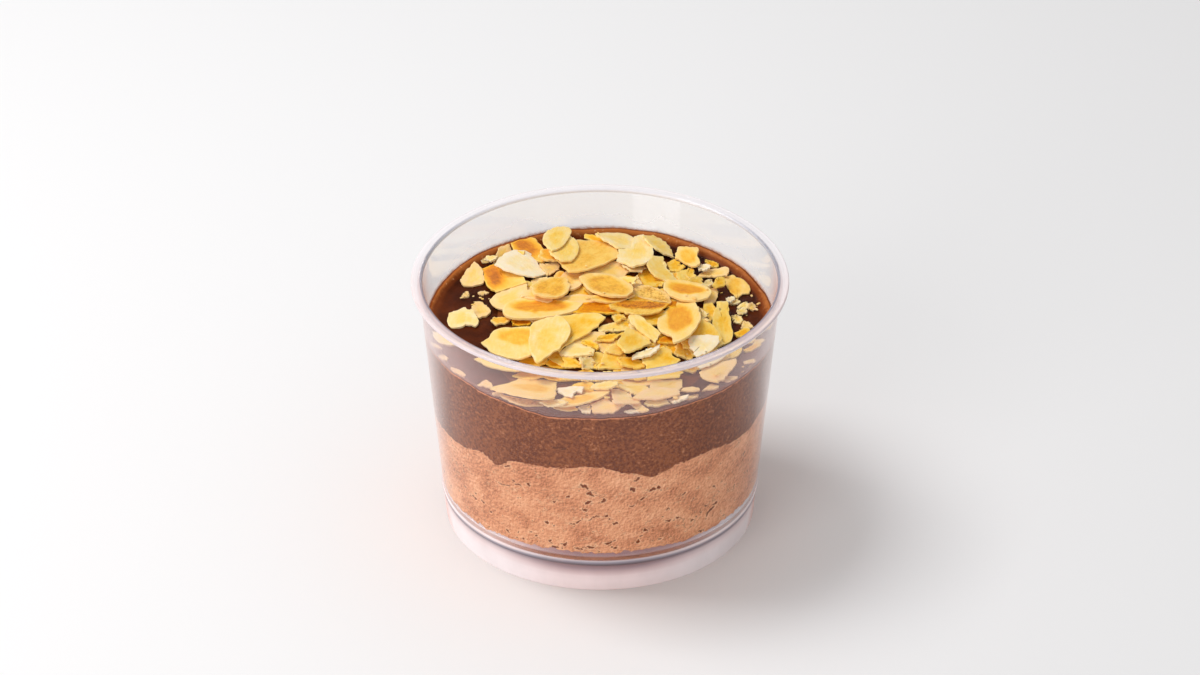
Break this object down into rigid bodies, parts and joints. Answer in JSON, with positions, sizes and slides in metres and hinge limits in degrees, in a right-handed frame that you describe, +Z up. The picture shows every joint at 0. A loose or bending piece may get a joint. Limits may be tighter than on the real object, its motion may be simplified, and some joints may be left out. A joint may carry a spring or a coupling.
{
  "type": "layered chocolate dessert cup",
  "caption": "Clear tapered plastic cup with a flared rim and hollow foot, holding a mousse layer, a darker chocolate layer and a heap of flaked almonds.",
  "frame": {"origin": "centre of the cup's base, on the surface it stands on", "axes": "+Z up along the cup's axis; -Y is the side that the picture shows as the front"},
  "size_m": [0.095, 0.095, 0.068],
  "materials": {
    "clear_plastic": "clear, smooth, glossy",
    "chocolate_mousse": "aerated, matte, light brown",
    "chocolate_cream": "smooth dark brown cream with a soft sheen",
    "almond": "toasted blanched almond slices, satin"
  },
  "bodies": {
    "root": {"cup": "clear_plastic", "mousse": "chocolate_mousse", "chocolate_cream": "chocolate_cream", "almond_heap": "almond"}
  },
  "joints": []
}
